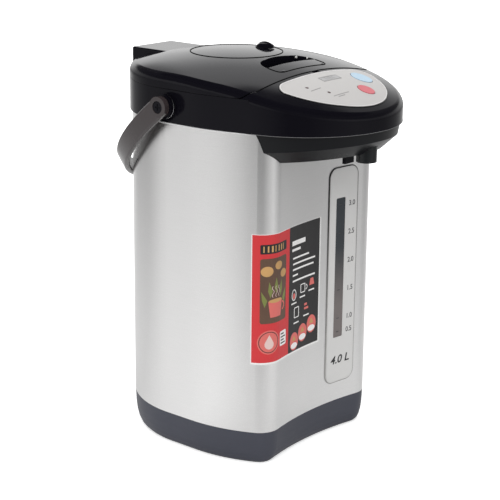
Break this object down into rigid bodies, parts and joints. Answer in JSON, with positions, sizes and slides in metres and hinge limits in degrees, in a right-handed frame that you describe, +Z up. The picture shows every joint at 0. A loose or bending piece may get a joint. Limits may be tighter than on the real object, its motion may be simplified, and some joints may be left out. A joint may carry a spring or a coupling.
{
  "type": "electric thermo pot",
  "caption": "Upright electric thermo pot with a steel body, dispensing beak and cup lever, hinged lid with hand pump, level gauge and swinging carrying handle.",
  "frame": {"origin": "on the table under the axis of the water tank, in the middle of the centre foot", "axes": "+Z up, -Y towards the spout and the user, +X to the right seen from the front"},
  "size_m": [0.208, 0.2592, 0.3426],
  "materials": {
    "brushed_steel": "brushed",
    "tank_steel": "satin",
    "screw_steel": "plain",
    "motor_steel": "plated",
    "aluminium": "cast",
    "brass_pins": "plain",
    "base_plastic": "satin slate grey",
    "black_plastic": "satin gloss",
    "handle_plastic": "satin gloss",
    "panel_plastic": "satin",
    "gauge_plastic": "satin",
    "grey_plastic": "satin",
    "white_plastic": "satin",
    "clear_window": "clear",
    "dark_window": "tinted",
    "red_button": "satin",
    "blue_button": "satin",
    "red_lamp": "clear red",
    "dark_part": "matt",
    "silicone": "translucent white",
    "rubber": "matt",
    "mica_band": "mica and steel",
    "sleeve_white": "woven sleeve",
    "circuit_board": "satin"
  },
  "bodies": {
    "pot": {"base_housing": "base_plastic", "base_plate": "base_plastic", "base_screws": "screw_steel", "rubber_feet": "rubber", "outer_shell": "brushed_steel", "gauge_bezel": "gauge_plastic", "gauge_window": "clear_window", "level_tube": "clear_window", "power_inlet": "black_plastic", "inlet_pins": "brass_pins", "inner_tank": "tank_steel", "tank_gasket": "silicone", "heater_plate": "aluminium", "band_heater": "mica_band", "thermostats": "aluminium", "thermal_fuse": "sleeve_white", "pump_housing": "white_plastic", "pump_motor": "motor_steel", "pump_bracket": "motor_steel", "outlet_hose": "silicone", "power_board": "circuit_board", "board_posts": "base_plastic", "upper_housing": "black_plastic", "hinge_bracket": "black_plastic", "hinge_pin": "screw_steel", "control_overlay": "panel_plastic", "display_window": "dark_window", "control_board": "circuit_board", "lamps": "red_lamp", "tact_switches": "dark_part", "display_module": "dark_part", "chin_cover": "black_plastic", "nozzle": "grey_plastic", "cup_lever_pin": "screw_steel", "cup_switch": "dark_part", "backflow_valve": "white_plastic", "spout_pipe": "silicone", "latch_keeper": "screw_steel", "handle_bosses": "black_plastic", "handle_pins": "black_plastic"},
    "lid": {"lid_cover": "black_plastic", "hinge_cover": "black_plastic", "lid_inner": "tank_steel", "lid_gasket": "silicone", "lid_screws": "screw_steel", "lever_pin": "screw_steel", "lever_springs": "screw_steel", "bellows": "silicone", "pump_spring": "screw_steel"},
    "pump_plate": {"pump_plate": "black_plastic"},
    "lock_knob": {"lock_knob": "black_plastic"},
    "release_lever": {"release_lever": "black_plastic"},
    "latch_bolt": {"latch_bolt": "grey_plastic"},
    "handle": {"handle": "handle_plastic"},
    "impeller": {"impeller": "white_plastic"},
    "valve_ball": {"valve_ball": "screw_steel"},
    "cup_lever": {"cup_lever": "black_plastic"},
    "dispense_button": {"dispense_button": "red_button"},
    "reboil_button": {"reboil_button": "blue_button"}
  },
  "joints": [
    {"name": "lid_hinge", "type": "hinge", "parent": "pot", "child": "lid", "pos_m": [0, 0.096, 0.318], "axis": [-1, 0, 0], "range_deg": [0, 80]},
    {"name": "handle_swing", "type": "hinge", "parent": "pot", "child": "handle", "pos_m": [0, -0.004, 0.3015], "axis": [1, 0, 0], "range_deg": [0, 128.8]},
    {"name": "pump_press", "type": "slide", "parent": "lid", "child": "pump_plate", "axis": [0, 0, -1], "range_m": [0, 0.015], "stiffness_N_per_m": 600, "springref_m": -0.01, "deforming": ["bellows", "pump_spring"]},
    {"name": "lock_turn", "type": "hinge", "parent": "pump_plate", "child": "lock_knob", "pos_m": [0.0265, -0.01, 0.338], "axis": [0, 0, 1], "range_deg": [0, 90]},
    {"name": "lever_lift", "type": "hinge", "parent": "lid", "child": "release_lever", "pos_m": [0, -0.0722, 0.3278], "axis": [1, 0, 0], "range_deg": [0, 18], "stiffness_Nm_per_rad": 0.2, "springref_deg": -17.19},
    {"name": "latch_slide", "type": "slide", "parent": "lid", "child": "latch_bolt", "axis": [0, 1, 0], "range_m": [0, 0.0021]},
    {"name": "cup_push", "type": "hinge", "parent": "pot", "child": "cup_lever", "pos_m": [0, -0.122, 0.279], "axis": [1, 0, 0], "range_deg": [0, 12], "stiffness_Nm_per_rad": 0.05, "springref_deg": -11.46},
    {"name": "dispense_press", "type": "slide", "parent": "pot", "child": "dispense_button", "axis": [-0.0458, 0.3503, -0.9355], "range_m": [0, 0.001], "stiffness_N_per_m": 800, "springref_m": -0.001},
    {"name": "reboil_press", "type": "slide", "parent": "pot", "child": "reboil_button", "axis": [-0.1014, 0.2958, -0.9498], "range_m": [0, 0.001], "stiffness_N_per_m": 800, "springref_m": -0.001},
    {"name": "impeller_spin", "type": "hinge", "parent": "pot", "child": "impeller", "pos_m": [0, 0, 0.038], "axis": [0, 0, 1], "continuous": true},
    {"name": "valve_lift", "type": "slide", "parent": "pot", "child": "valve_ball", "axis": [0, 0, 1], "range_m": [0, 0.0015]}
  ],
  "couplings": [
    {"joint": "lever_lift", "follows": "latch_slide", "rad_per_m": 147.06}
  ]
}
